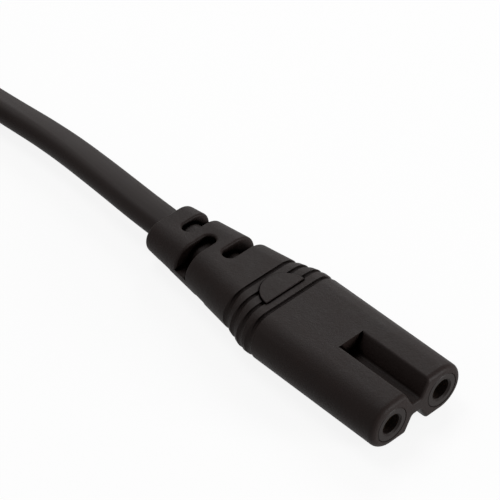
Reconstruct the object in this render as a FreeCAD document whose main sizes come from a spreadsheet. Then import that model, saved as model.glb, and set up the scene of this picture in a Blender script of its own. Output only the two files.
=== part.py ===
"""Figure eight power connector on a flat twin cord that ends in a flat two-pin plug.

The connector lies on its broad side: X runs across its two entry holes, Y from the mating face to the cord,
Z up. The origin is the middle of its underside. Lengths are in millimetres.
"""
import FreeCAD, Part
import os
from math import pi, tan

import Sketcher
from FreeCAD import Vector

SIZES = {
    # nose: two barrels side by side, joined by a web
    "pin_pitch": 8.6,
    "barrel_radius": 3.43,
    "front_rounding": 0.8,
    "notch_width": 4.0,
    "notch_floor": 1.35,
    "notch_depth": 2.5,
    "notch_length": 11.5,
    "notch_rounding": 0.4,
    "notch_floor_rounding": 0.45,
    # ribbed collar, with a raised pad on top
    "first_groove": 21.75,
    "rib_pitch": 1.75,
    "groove_radius": 0.32,
    "groove_rise": 0.12,
    "valley_radius": 0.8,
    "valley_depth": 0.32,
    "pad_width": 6.6,
    "pad_length": 3.25,
    "pad_lead": 0.45,
    "pad_height": 0.25,
    "pad_rounding": 0.12,
    # strain relief: its first, middle and last section, and the slots that let it bend
    "relief_length": 18.0,
    "relief_middle": 8.25,
    "relief_width": 13.2,
    "relief_height": 6.7,
    "middle_width": 10.7,
    "middle_height": 6.4,
    "end_width": 8.4,
    "end_height": 4.8,
    "end_rounding": 0.7,
    "first_slot": 6.35,
    "slot_pitch": 3.8,
    "slot_width": 2.0,
    "slot_overlap": 0.9,
    "slot_floor_wall": 0.25,
    "slot_rounding": 0.35,
    "lower_slot_start": 1.2,
    # rigid carrier of the two contacts
    "insert_radius": 2.45,
    "insert_wall": 0.8,
    "bridge_length": 2.5,
    "bridge_height": 3.4,
    "entry_diameter": 2.8,
    "entry_depth": 1.6,
    "entry_chamfer": 0.25,
    # slit sleeve contacts with crimp barrels
    "sleeve_diameter": 3.3,
    "sleeve_bore": 2.4,
    "sleeve_slit": 0.35,
    "pin_depth": 10.0,
    "crimp_diameter": 2.1,
    "crimp_length": 4.5,
    "crimp_seat": 0.6,
    # flat twin cord and its two cores
    "cord_width": 5.0,
    "cord_thickness": 3.2,
    "jacket_inset": 14.0,
    "core_diameter": 1.9,
    "core_spacing": 2.0,
    "conductor_diameter": 0.95,
    # hank of the put-away length, and its tie
    "hank_across": 16.0,
    "hank_along": 89.0,
    "loop_spacing": 80.0,
    "loop_radius": 23.2,
    "waist_bend": 44.8,
    "hank_height": 10.2,
    "upper_loop_radius": 15.0,
    "upper_loop_leg": 4.0,
    "tie_width": 5.0,
    "tie_thickness": 0.9,
    # flat two-pin plug
    "plug_across": 10.0,
    "plug_along": 129.0,
    "plug_face_width": 35.3,
    "plug_flat_width": 26.0,
    "plug_thickness": 13.7,
    "plug_edge_height": 6.4,
    "plug_face_rounding": 1.0,
    "plug_grip_length": 9.0,
    "plug_taper_length": 14.0,
    "plug_neck_width": 15.0,
    "plug_neck_flat": 11.0,
    "plug_neck_height": 10.4,
    "plug_neck_edge": 5.6,
    "plug_relief_length": 13.0,
    "plug_relief_width": 9.6,
    "plug_relief_height": 7.4,
    "plug_end_width": 7.6,
    "plug_end_height": 5.8,
    "plug_jacket_inset": 16.0,
    "plug_pin_pitch": 18.6,
    "plug_pin_diameter": 4.0,
    "plug_pin_length": 19.0,
    "plug_shank_diameter": 3.0,
    "plug_sleeve_diameter": 3.5,
    "plug_sleeve_length": 10.0,
    "plug_bridge_cover": 2.6,
    "plug_bridge_length": 4.0,
    "plug_bridge_height": 6.4,
    "plug_bridge_margin": 2.6,
    "plug_tail_length": 3.2,
    "plug_tail_seat": 1.2,
}

GROOVES = 4
SLOTS = 3

# How far apart two places may lie and still count as one.
SLACK = 1e-4

# The cord's free stretches between what holds their ends: points chosen by hand, in millimetres.
LEAD_ROUTE = [
    (0.0, 24.0, 3.43),
    (0.8, 35.5, 3.12),
    (1.45, 46.5, 2.6),
    (0.75, 58.0, 2.25),
    (0.4, 66.0, 2.3),
    (3.2, 77.0, 2.5),
    (5.0, 86.5, 2.5),
]
TAIL_ROUTE = [
    (-1.0, 99.5, 12.7),
    (-2.4, 107.0, 13.2),
    (-6.2, 115.0, 14.9),
    (-9.2, 123.0, 16.5),
    (-10.0, 131.0, 17.05),
]


class Length:
    """A length that carries its value and the sheet formula that gives it."""

    def __init__(self, value, formula):
        self.value = value
        self.formula = formula

    def _with(self, sign, other, result):
        text = other.formula if isinstance(other, Length) else repr(other)
        return Length(result, f"({self.formula} {sign} {text})")

    def __add__(self, other):
        return self._with("+", other, self.value + number(other))

    def __sub__(self, other):
        return self._with("-", other, self.value - number(other))

    def __mul__(self, other):
        return self._with("*", other, self.value * number(other))

    def __truediv__(self, other):
        return self._with("/", other, self.value / number(other))

    def __neg__(self):
        return Length(-self.value, f"(-{self.formula})")

    def root(self):
        return Length(self.value ** 0.5, f"sqrt({self.formula})")


def number(length):
    """The plain value of a length or a number."""
    return length.value if isinstance(length, Length) else length


def write_sheet(doc):
    """Put every driving size into the document's sheet, one aliased cell each, and return the lengths."""
    sheet = doc.addObject("Spreadsheet::Sheet", "sizes")
    lengths = {}
    for row, (name, value) in enumerate(SIZES.items(), start=1):
        sheet.set(f"A{row}", name)
        sheet.set(f"B{row}", str(value))
        sheet.setAlias(f"B{row}", name)
        lengths[name] = Length(value, f"sizes.{name}")
    doc.recompute()
    return lengths


document = FreeCAD.newDocument("figure_eight_connector")
size = write_sheet(document)

# Stations along the connector, counted from its mating face.
groove_stations = [size["first_groove"] + size["rib_pitch"] * step for step in range(GROOVES)]
shoulder_start = groove_stations[1]
relief_start = groove_stations[-1]
relief_end = relief_start + size["relief_length"]
slot_stations = [relief_start + size["first_slot"] + size["slot_pitch"] * step for step in range(SLOTS)]
insert_end = size["notch_length"] + size["insert_wall"] + size["bridge_length"]
crimp_end = insert_end + size["crimp_length"]
jacket_start = relief_end - size["jacket_inset"]

# Stations along the plug, counted from the end that the cord goes into.
plug_neck = size["plug_relief_length"]
plug_grip = plug_neck + size["plug_taper_length"]
plug_face = plug_grip + size["plug_grip_length"]
plug_bridge_front = plug_face - size["plug_bridge_cover"]
plug_bridge_back = plug_bridge_front - size["plug_bridge_length"]
plug_tail = plug_bridge_back - size["plug_tail_length"]

# Where a frame of its own starts: the mating face, the plug's cord end, or the floor.
zero = Length(0.0, "0")
half_pitch = size["pin_pitch"] / 2
plug_half_pitch = size["plug_pin_pitch"] / 2
half_cores = size["core_spacing"] / 2
SIDES = {"left": -1, "right": 1}

# Where the connector's and the plug's own frames stand in the part's frame.
CONNECTOR = {"y": -relief_end / 2, "z": size["barrel_radius"]}
PLUG = {
    "x": -size["plug_across"],
    "y": size["plug_along"],
    "z": size["hank_height"] + size["plug_thickness"] / 2,
}
HANK = {"x": -size["hank_across"], "y": size["hank_along"]}


def bind(item, lengths):
    """Tie properties of an object to the sheet."""
    for path, length in lengths.items():
        item.setExpression(path, length.formula)


def place(item, frame):
    """Stand an object in one of the frames above."""
    bind(item, {f"Placement.Base.{axis}": length for axis, length in frame.items()})


def new_body(label, frame):
    body = document.addObject("PartDesign::Body", label)
    body.Label = label
    place(body, frame)
    return body


def origin_feature(body, role):
    return next(feature for feature in body.Origin.OriginFeatures if feature.Role == role)


def new_sketch(body, role, name, offset=None):
    """A sketch on one of the body's own planes, moved along that plane's normal."""
    sketch = body.newObject("Sketcher::SketchObject", name)
    sketch.AttachmentSupport = [(origin_feature(body, role), "")]
    sketch.MapMode = "FlatFace"
    if offset is not None:
        bind(sketch, {"AttachmentOffset.Base.z": offset})
    return sketch


def section_sketch(body, name, station):
    """A sketch across the body's length, at a station along Y."""
    return new_sketch(body, "XZ_Plane", name, -station)


def constrain(sketch, kind, *terms):
    """Add a constraint; where its last term is a length, it is tied to the sheet."""
    index = sketch.addConstraint(Sketcher.Constraint(kind, *(number(term) for term in terms)))
    if isinstance(terms[-1], Length):
        sketch.setExpression(f"Constraints[{index}]", terms[-1].formula)


def add_arc(sketch, centre, radius, start, end):
    circle = Part.Circle(Vector(*centre, 0), Vector(0, 0, 1), radius)
    return sketch.addGeometry(Part.ArcOfCircle(circle, start, end))


def add_line(sketch, start, end):
    return sketch.addGeometry(Part.LineSegment(Vector(*start, 0), Vector(*end, 0)))


def stadium(body, name, station, half_span, radius):
    """A section with two flat sides and two round ends, centred on the axis."""
    sketch = section_sketch(body, name, station)
    span, round_end = half_span.value, radius.value
    top = add_line(sketch, (-span, round_end), (span, round_end))
    right = add_arc(sketch, (span, 0), round_end, -pi / 2, pi / 2)
    bottom = add_line(sketch, (span, -round_end), (-span, -round_end))
    left = add_arc(sketch, (-span, 0), round_end, pi / 2, 3 * pi / 2)
    constrain(sketch, "Tangent", top, 2, right, 2)
    constrain(sketch, "Tangent", right, 1, bottom, 1)
    constrain(sketch, "Tangent", bottom, 2, left, 2)
    constrain(sketch, "Tangent", left, 1, top, 1)
    constrain(sketch, "PointOnObject", right, 3, -1)
    constrain(sketch, "PointOnObject", left, 3, -1)
    constrain(sketch, "DistanceX", -1, 1, right, 3, half_span)
    constrain(sketch, "DistanceX", left, 3, -1, 1, half_span)
    constrain(sketch, "Radius", right, radius)
    constrain(sketch, "Equal", right, left)
    return sketch


def flat_section(body, name, station, width, height):
    """A stadium given by its overall width and height."""
    return stadium(body, name, station, (width - height) / 2, height / 2)


def polygon(sketch, points):
    """A closed outline through points, each fixed by its distances from the sketch's two axes."""
    count = len(points)
    lines = []
    for index, (x, y) in enumerate(points):
        following = points[(index + 1) % count]
        lines.append(add_line(sketch, (x.value, y.value), (following[0].value, following[1].value)))
    for index, (x, y) in enumerate(points):
        constrain(sketch, "Coincident", lines[index - 1], 2, lines[index], 1)
        for kind, length in (("DistanceX", x), ("DistanceY", y)):
            if length.value < 0:
                constrain(sketch, kind, lines[index], 1, -1, 1, -length)
            else:
                constrain(sketch, kind, -1, 1, lines[index], 1, length)
    return sketch


def extrude(body, name, sketch, length, cut=False, backward=False):
    """Pad or pocket a sketch by a length; a section sketch's normal points to -Y."""
    feature = body.newObject("PartDesign::Pocket" if cut else "PartDesign::Pad", name)
    feature.Profile = sketch
    feature.Reversed = backward
    bind(feature, {"Length": length})
    return feature


def loft(body, name, sections):
    feature = body.newObject("PartDesign::AdditiveLoft", name)
    feature.Profile = sections[0]
    feature.Sections = sections[1:]
    feature.Ruled = True
    return feature


def fillet(body, name, radius, chosen):
    """Round the edges of the body so far for which chosen(edge) holds."""
    document.recompute()
    base = body.Tip
    names = [f"Edge{index}" for index, edge in enumerate(base.Shape.Edges, start=1) if chosen(edge)]
    feature = body.newObject("PartDesign::Fillet", name)
    feature.Base = (base, names)
    bind(feature, {"Radius": radius})
    return feature


def cylinder(name, frame, x, start, length, diameter):
    """A round bar along Y, with its axis at height zero of the frame and at x across it."""
    bar = document.addObject("Part::Cylinder", name)
    bar.Placement.Rotation = FreeCAD.Rotation(Vector(1, 0, 0), -90)
    bind(bar, {"Radius": diameter / 2, "Height": length})
    across = frame["x"] + x if "x" in frame else x
    place(bar, {"x": across, "y": frame["y"] + start, "z": frame["z"]})
    return bar


def cone(name, frame, x, start, length, first_radius, last_radius):
    """A cone along Y, placed as a round bar is."""
    bar = document.addObject("Part::Cone", name)
    bar.Placement.Rotation = FreeCAD.Rotation(Vector(1, 0, 0), -90)
    bind(bar, {"Radius1": first_radius, "Radius2": last_radius, "Height": length})
    place(bar, {"x": x, "y": frame["y"] + start, "z": frame["z"]})
    return bar


def fuse(label, pieces):
    feature = document.addObject("Part::MultiFuse", label)
    feature.Label = label
    feature.Shapes = pieces
    feature.Refine = True
    return feature


def cut(label, base, tool):
    feature = document.addObject("Part::Cut", label)
    feature.Label = label
    feature.Base = base
    feature.Tool = tool
    return feature


def s_bend(label, frame, diameter, first, last, lead=None, tail=None):
    """A round core that shifts sideways in two equal arcs, with a straight end before or after them.

    first and last are the places (across, along) where the bend starts and stops.
    """
    body = new_body(label, frame)
    path = new_sketch(body, "XY_Plane", f"{label}_path")
    x0, y0 = (length.value for length in first)
    x1, y1 = (length.value for length in last)
    shift, run = x1 - x0, y1 - y0
    bend = (shift ** 2 + run ** 2) / (4 * abs(shift))
    way = 1 if shift > 0 else -1
    middle = ((x0 + x1) / 2, (y0 + y1) / 2)
    first_arc = arc_between(path, (x0 + way * bend, y0), (x0, y0), middle)
    last_arc = arc_between(path, (x1 - way * bend, y1), middle, (x1, y1))
    first_ends = (1, 2) if way < 0 else (2, 1)
    last_ends = (2, 1) if way < 0 else (1, 2)
    constrain(path, "Tangent", first_arc, first_ends[1], last_arc, last_ends[0])
    constrain(path, "Equal", first_arc, last_arc)
    fix_point(path, first_arc, first_ends[0], *first)
    fix_point(path, last_arc, last_ends[1], *last)
    constrain(path, "DistanceY", -1, 1, first_arc, 3, first[1])
    constrain(path, "DistanceY", -1, 1, last_arc, 3, last[1])
    start = first[1]
    if lead is not None:
        start = first[1] - lead
        straight = add_line(path, (x0, start.value), (x0, y0))
        constrain(path, "Coincident", straight, 2, first_arc, first_ends[0])
        fix_point(path, straight, 1, first[0], start)
    if tail is not None:
        stop = last[1] + tail
        straight = add_line(path, (x1, y1), (x1, stop.value))
        constrain(path, "Coincident", straight, 1, last_arc, last_ends[1])
        fix_point(path, straight, 2, last[0], stop)
    profile = section_sketch(body, f"{label}_section", start)
    circle = profile.addGeometry(Part.Circle(Vector(x0, 0, 0), Vector(0, 0, 1), diameter.value / 2))
    constrain(profile, "PointOnObject", circle, 3, -1)
    fix_across(profile, circle, 3, first[0])
    constrain(profile, "Radius", circle, diameter / 2)
    document.recompute()
    pipe = body.newObject("PartDesign::AdditivePipe", f"{label}_pipe")
    pipe.Profile = profile
    pipe.Spine = (path, [f"Edge{index}" for index in range(1, len(path.Shape.Edges) + 1)])
    return body


def arc_between(sketch, centre, start, end):
    """The short arc about a centre from one point to another, whichever way round it runs."""
    middle = Vector((start[0] + end[0]) / 2 - centre[0], (start[1] + end[1]) / 2 - centre[1], 0)
    radius = Vector(start[0] - centre[0], start[1] - centre[1], 0).Length
    crown = Vector(centre[0], centre[1], 0) + middle.normalize() * radius
    return sketch.addGeometry(Part.Arc(Vector(*start, 0), crown, Vector(*end, 0)))


def fix_across(sketch, item, point, x):
    if x.value < 0:
        constrain(sketch, "DistanceX", item, point, -1, 1, -x)
    else:
        constrain(sketch, "DistanceX", -1, 1, item, point, x)


def fix_point(sketch, item, point, x, y):
    fix_across(sketch, item, point, x)
    constrain(sketch, "DistanceY", -1, 1, item, point, y)


# The connector's moulding.

def shoulder_section(station_index):
    """Half span and end radius of the outline at a groove: full at the shoulder, narrower to the relief."""
    steps_past = max(station_index - 1, 0)
    share = steps_past / (GROOVES - 2)
    end_span = (size["relief_width"] - size["relief_height"]) / 2
    span = half_pitch * (1 - share) + end_span * share
    radius = size["barrel_radius"] * (1 - share) + size["relief_height"] / 2 * share
    return span, radius


def add_nose_and_relief(body):
    """The constant nose and collar, then the shoulder and the tapering strain relief."""
    full = stadium(body, "nose_section", zero, half_pitch, size["barrel_radius"])
    extrude(body, "nose", full, shoulder_start, backward=True)
    middle = relief_start + size["relief_middle"]
    sections = [
        stadium(body, "shoulder_section", shoulder_start, half_pitch, size["barrel_radius"]),
        flat_section(body, "relief_section", relief_start, size["relief_width"], size["relief_height"]),
        flat_section(body, "middle_section", middle, size["middle_width"], size["middle_height"]),
        flat_section(body, "end_section", relief_end, size["end_width"], size["end_height"]),
    ]
    loft(body, "relief", sections)


def add_slots(body):
    """Slots from the top and, opening the other way, from below, down to a wall round the cord."""
    upper = slot_outlines(body, "upper_slot_outlines", zero, 1)
    extrude(body, "upper_slots", upper, size["relief_height"], cut=True, backward=True)
    lower = slot_outlines(body, "lower_slot_outlines", -size["lower_slot_start"], -1)
    extrude(body, "lower_slots", lower, size["relief_height"], cut=True)
    wall = size["slot_floor_wall"] * 2
    core = flat_section(body, "slot_floor", slot_stations[0] - size["slot_width"],
                        size["cord_width"] + wall, size["cord_thickness"] + wall)
    extrude(body, "cord_wall", core, size["slot_pitch"] * (SLOTS - 1) + size["slot_width"] * 2, backward=True)


def slot_outlines(body, name, height, first_way):
    """Outlines of the slots at a height: from a rounded end just past the middle out over one side.

    The first opens the way that is asked for, the next the other way, and so on.
    """
    sketch = new_sketch(body, "XY_Plane", name, height)
    half_slot = size["slot_width"] / 2
    outside = size["relief_width"]
    for index, station in enumerate(slot_stations):
        way = first_way if index % 2 == 0 else -first_way
        inner = half_slot - size["slot_overlap"]
        centre = (way * inner.value, station.value)
        turn = pi / 2 if way > 0 else -pi / 2
        end = add_arc(sketch, centre, half_slot.value, turn, turn + pi)
        low_point, high_point = (2, 1) if way > 0 else (1, 2)
        low = add_line(sketch, (way * outside.value, station.value - half_slot.value),
                       (centre[0], station.value - half_slot.value))
        high = add_line(sketch, (centre[0], station.value + half_slot.value),
                        (way * outside.value, station.value + half_slot.value))
        mouth = add_line(sketch, (way * outside.value, station.value + half_slot.value),
                         (way * outside.value, station.value - half_slot.value))
        constrain(sketch, "Tangent", low, 2, end, low_point)
        constrain(sketch, "Tangent", high, 1, end, high_point)
        constrain(sketch, "Coincident", high, 2, mouth, 1)
        constrain(sketch, "Coincident", mouth, 2, low, 1)
        constrain(sketch, "Horizontal", low)
        constrain(sketch, "Horizontal", high)
        constrain(sketch, "Vertical", mouth)
        constrain(sketch, "Radius", end, half_slot)
        fix_point(sketch, end, 3, inner if way > 0 else -inner, station)
        fix_across(sketch, mouth, 1, outside if way > 0 else -outside)
    return sketch


def add_notches(body):
    """A tapering notch along the middle of the nose, above and below."""
    sketch = section_sketch(body, "notch_section", zero)
    top = size["barrel_radius"]
    floor = top - size["notch_depth"]
    outer = size["notch_width"] / 2
    inner = size["notch_floor"] / 2
    polygon(sketch, [(-inner, floor), (inner, floor), (outer, top), (-outer, top)])
    notch = extrude(body, "upper_notch", sketch, size["notch_length"], cut=True)
    pair = body.newObject("PartDesign::Mirrored", "both_notches")
    pair.Originals = [notch]
    pair.MirrorPlane = (origin_feature(body, "XY_Plane"), [""])
    body.Tip = pair


def add_grooves(body):
    """Fine grooves round the collar, each in a wide valley that deepens towards the sides."""
    for index, station in enumerate(groove_stations):
        span, radius = shoulder_section(index)
        rise = size["groove_rise"]
        cut_ring(body, f"groove_{index}", station, span - rise, radius + rise, size["groove_radius"])
        clear = size["valley_radius"] + rise
        inset = size["valley_depth"] + rise
        cut_ring(body, f"valley_{index}", station, span - inset, radius + clear, size["valley_radius"])


def cut_ring(body, name, station, span, radius, ring_radius):
    """Take a round ring out of the body, along a stadium across Y."""
    spine = stadium(body, f"{name}_path", station, span, radius)
    profile = new_sketch(body, "YZ_Plane", f"{name}_section", span)
    centre = Vector(station.value, radius.value, 0)
    circle = profile.addGeometry(Part.Circle(centre, Vector(0, 0, 1), ring_radius.value))
    fix_point(profile, circle, 3, station, radius)
    constrain(profile, "Radius", circle, ring_radius)
    ring = body.newObject("PartDesign::SubtractivePipe", name)
    ring.Profile = profile
    ring.Spine = (spine, ["Edge1", "Edge2", "Edge3", "Edge4"])


def add_pad(body):
    """The raised pad on top: straight just ahead of the second groove, round towards the cord."""
    foot = size["barrel_radius"] - size["groove_radius"]
    sketch = new_sketch(body, "XY_Plane", "pad_outline", foot)
    front = groove_stations[1] - size["pad_lead"]
    half = size["pad_width"] / 2
    back = front + size["pad_length"]
    arc = sketch.addGeometry(Part.Arc(Vector(half.value, front.value, 0), Vector(0, back.value, 0),
                                      Vector(-half.value, front.value, 0)))
    chord = add_line(sketch, (-half.value, front.value), (half.value, front.value))
    constrain(sketch, "Coincident", chord, 2, arc, 1)
    constrain(sketch, "Coincident", chord, 1, arc, 2)
    constrain(sketch, "Horizontal", chord)
    fix_point(sketch, chord, 2, half, front)
    fix_across(sketch, chord, 1, -half)
    crown = sketch.addGeometry(Part.Point(Vector(0, back.value, 0)))
    constrain(sketch, "PointOnObject", crown, 1, -2)
    constrain(sketch, "PointOnObject", crown, 1, arc)
    constrain(sketch, "DistanceY", -1, 1, crown, 1, back)
    sketch.setConstruction(crown, True)
    extrude(body, "pad", sketch, size["groove_radius"] + size["pad_height"])


def connector_moulding():
    """The one-piece moulding, before the pieces inside it are taken out of it."""
    body = new_body("connector_moulding", CONNECTOR)
    add_nose_and_relief(body)
    fillet(body, "front_edge", size["front_rounding"], lambda edge: lies_at(edge, 0))
    fillet(body, "back_edge", size["end_rounding"], lambda edge: lies_at(edge, relief_end.value))
    add_slots(body)
    fillet(body, "slot_edges", size["slot_rounding"], on_slot_rim)
    add_notches(body)
    fillet(body, "notch_floors", size["notch_floor_rounding"], on_notch_floor)
    fillet(body, "notch_edges", size["notch_rounding"], on_notch_rim)
    add_grooves(body)
    add_pad(body)
    fillet(body, "pad_edges", size["pad_rounding"], on_pad_rim)
    return body


def spans(edge, low, high):
    """Whether an edge lies between two stations along Y."""
    box = edge.BoundBox
    return box.YMin > low - SLACK and box.YMax < high + SLACK


def lies_at(edge, station):
    """Whether an edge lies across Y at one station."""
    return spans(edge, station, station)


def on_slot_rim(edge):
    """Whether an edge is where a slot's wall meets the outside, above or below the mid-plane."""
    half = size["slot_width"].value / 2
    in_slot = any(spans(edge, station.value - half, station.value + half) for station in slot_stations)
    middle = edge.valueAt((edge.FirstParameter + edge.LastParameter) / 2)
    return in_slot and abs(middle.z) > SLACK and edge.Curve.TypeId == "Part::GeomBSplineCurve"


def on_pad_rim(edge):
    """Whether an edge bounds the top of the raised pad."""
    return edge.BoundBox.ZMin > size["barrel_radius"].value + size["pad_height"].value - SLACK


def on_notch_floor(edge):
    """Whether an edge runs along the floor of a notch, at its foot on either side."""
    box = edge.BoundBox
    floor = size["barrel_radius"].value - size["notch_depth"].value
    at_floor = max(abs(abs(z) - floor) for z in (box.ZMin, box.ZMax)) < SLACK
    return at_floor and box.XLength < SLACK


def on_notch_rim(edge):
    """Whether an edge bounds a notch on the front or along the top or bottom of the nose."""
    box = edge.BoundBox
    if max(-box.XMin, box.XMax) > size["notch_width"].value / 2 + SLACK:
        return False
    along_top = min(abs(box.ZMin), abs(box.ZMax)) > size["barrel_radius"].value - SLACK
    at_end = box.YMin > size["notch_length"].value - SLACK
    return spans(edge, 0, size["front_rounding"].value) or along_top and not at_end


# The connector's inner pieces.

def insert_blank():
    """The carrier without its bores: two round barrels joined by a bridge behind the notches."""
    start = size["notch_length"] + size["insert_wall"]
    barrels = [
        cylinder(f"insert_barrel_{side}", CONNECTOR, half_pitch * way, zero, insert_end,
                 size["insert_radius"] * 2)
        for side, way in SIDES.items()
    ]
    bridge = document.addObject("Part::Box", "insert_bridge")
    bind(bridge, {
        "Length": size["pin_pitch"],
        "Width": size["bridge_length"],
        "Height": size["bridge_height"],
    })
    place(bridge, {
        "x": -half_pitch,
        "y": CONNECTOR["y"] + start,
        "z": CONNECTOR["z"] - size["bridge_height"] / 2,
    })
    return fuse("insert_blank", barrels + [bridge])


def contact_insert(blank):
    """The carrier with its entry holes, their chamfers and the seats of the contacts."""
    tools = []
    for side, way in SIDES.items():
        x = half_pitch * way
        front = zero
        entry = size["entry_diameter"] / 2
        chamfer = size["entry_chamfer"]
        tools.append(cylinder(f"entry_{side}", CONNECTOR, x, front, size["entry_depth"],
                              size["entry_diameter"]))
        tools.append(cone(f"entry_mouth_{side}", CONNECTOR, x, front, chamfer, entry + chamfer, entry))
        tools.append(cylinder(f"contact_seat_{side}", CONNECTOR, x, size["entry_depth"],
                              insert_end - size["entry_depth"], size["sleeve_diameter"]))
    return cut("contact_insert", blank, fuse("insert_bores", tools))


def contact(side, way):
    """A sleeve for one pin, slit along its top, with a crimp barrel behind it."""
    x = half_pitch * way
    front = size["entry_depth"]
    sleeve = cylinder(f"sleeve_{side}", CONNECTOR, x, front, insert_end - front, size["sleeve_diameter"])
    crimp = cylinder(f"crimp_{side}", CONNECTOR, x, insert_end, size["crimp_length"], size["crimp_diameter"])
    bore = cylinder(f"sleeve_bore_{side}", CONNECTOR, x, front, size["pin_depth"], size["sleeve_bore"])
    seat = cylinder(f"crimp_bore_{side}", CONNECTOR, x, insert_end + size["crimp_seat"],
                    size["crimp_length"] - size["crimp_seat"], size["conductor_diameter"])
    slit = document.addObject("Part::Box", f"slit_{side}")
    bind(slit, {
        "Length": size["sleeve_slit"],
        "Width": size["pin_depth"],
        "Height": size["sleeve_diameter"] / 2,
    })
    place(slit, {
        "x": x - size["sleeve_slit"] / 2,
        "y": CONNECTOR["y"] + front,
        "z": CONNECTOR["z"],
    })
    shell = fuse(f"contact_blank_{side}", [sleeve, crimp])
    return cut(f"contact_{side}", shell, fuse(f"contact_hollow_{side}", [bore, seat, slit])), crimp


def wires(prefix, frame, side, first, last, **straight_end):
    """One core: its strands, which reach into the metal by a straight end, and the insulation round them."""
    strands = s_bend(f"{prefix}conductor_{side}", frame, size["conductor_diameter"], first, last,
                     **straight_end)
    whole = s_bend(f"{prefix}core_blank_{side}", frame, size["core_diameter"], first, last)
    return strands, cut(f"{prefix}core_{side}", whole, strands), whole


# The free cord.

def flat_profile(point):
    """The flat cord's section across Y at a point, broad side level."""
    half_span = number(size["cord_width"] - size["cord_thickness"]) / 2
    radius = size["cord_thickness"].value / 2
    x, y, z = point
    top = Part.LineSegment(Vector(x - half_span, y, z + radius), Vector(x + half_span, y, z + radius))
    bottom = Part.LineSegment(Vector(x + half_span, y, z - radius), Vector(x - half_span, y, z - radius))
    right = Part.Arc(top.EndPoint, Vector(x + half_span + radius, y, z), bottom.StartPoint)
    left = Part.Arc(bottom.EndPoint, Vector(x - half_span - radius, y, z), top.StartPoint)
    return Part.Wire([curve.toShape() for curve in (top, right, bottom, left)])


def rounded_path(name, route):
    """Straight runs joined by tangent arcs, each as large as its two runs allow."""
    share = 0.45
    points = [Vector(*point) for point in route]
    edges = []
    radii = []
    start = points[0]
    for before, corner, after in zip(points, points[1:], points[2:]):
        back = before - corner
        ahead = after - corner
        setback = share * min(back.Length, ahead.Length)
        radius = setback / tan((pi - back.getAngle(ahead)) / 2)
        radii.append(round(radius, 1))
        entry = corner + back.normalize() * setback
        leave = corner + ahead.normalize() * setback
        crown = (radius ** 2 + setback ** 2) ** 0.5 - radius
        edges.append(Part.LineSegment(start, entry).toShape())
        edges.append(Part.Arc(entry, corner + (back + ahead).normalize() * crown, leave).toShape())
        start = leave
    edges.append(Part.LineSegment(start, points[-1]).toShape())
    print(name, "bend radii in mm:", radii)
    return Part.Wire(edges)


def cord_tube(name, route):
    """A plain flat tube along a route."""
    path = rounded_path(name, route)
    pipe = Part.BRepOffsetAPI.MakePipeShell(path)
    pipe.setBiNormalMode(Vector(0, 0, 1))
    pipe.add(flat_profile(route[0]))
    pipe.build()
    pipe.makeSolid()
    tube = document.addObject("Part::Feature", name)
    tube.Shape = pipe.shape()
    expected = Part.Face(flat_profile(route[0])).Area * path.Length
    print(name, "length", round(path.Length, 1), "volume share", round(tube.Shape.Volume / expected, 3))
    return tube


def lead_tube():
    """From inside the strain relief, straight out and down to the hank."""
    seat = (0.0, number(CONNECTOR["y"] + jacket_start), CONNECTOR["z"].value)
    return cord_tube("lead_tube", [seat] + LEAD_ROUTE)


def tail_tube():
    """From the hank's upper loop into the plug."""
    first = (
        number(HANK["x"] + size["upper_loop_radius"]),
        number(HANK["y"] + size["upper_loop_leg"]),
        number(size["hank_height"] + size["cord_width"] / 2),
    )
    last = (PLUG["x"].value, number(PLUG["y"] + size["plug_jacket_inset"]), PLUG["z"].value)
    return cord_tube("cord_tail", [first] + TAIL_ROUTE + [last])


def hank_blank():
    """The put-away turns as one solid: two round loops with a narrow waist, and a half loop on top."""
    body = new_body("hank_blank", HANK)
    sketch = new_sketch(body, "XY_Plane", "hank_outline")
    loop, spacing, bend = size["loop_radius"], size["loop_spacing"], size["waist_bend"]
    share = loop.value / (loop.value + bend.value)
    x, y = number(waist + bend) * share, spacing.value / 2 * share
    half = spacing.value / 2
    far_y = spacing.value - y
    near = arc_through(sketch, (-x, y), (0, -loop.value), (x, y))
    right = arc_through(sketch, (x, y), (waist.value, half), (x, far_y))
    far = arc_through(sketch, (x, far_y), (0, spacing.value + loop.value), (-x, far_y))
    left = arc_through(sketch, (-x, far_y), (-waist.value, half), (-x, y))
    constrain(sketch, "Tangent", near, 2, right, 2)
    constrain(sketch, "Tangent", right, 1, far, 1)
    constrain(sketch, "Tangent", far, 2, left, 2)
    constrain(sketch, "Tangent", left, 1, near, 1)
    constrain(sketch, "Coincident", near, 3, -1, 1)
    constrain(sketch, "PointOnObject", far, 3, -2)
    constrain(sketch, "DistanceY", -1, 1, far, 3, spacing)
    constrain(sketch, "Radius", near, loop)
    constrain(sketch, "Equal", near, far)
    constrain(sketch, "Radius", right, bend)
    constrain(sketch, "Equal", right, left)
    extrude(body, "turns", sketch, size["hank_height"])
    add_upper_loop(body)
    return body


def arc_through(sketch, start, crown, end):
    return sketch.addGeometry(Part.Arc(Vector(*start, 0), Vector(*crown, 0), Vector(*end, 0)))


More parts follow.
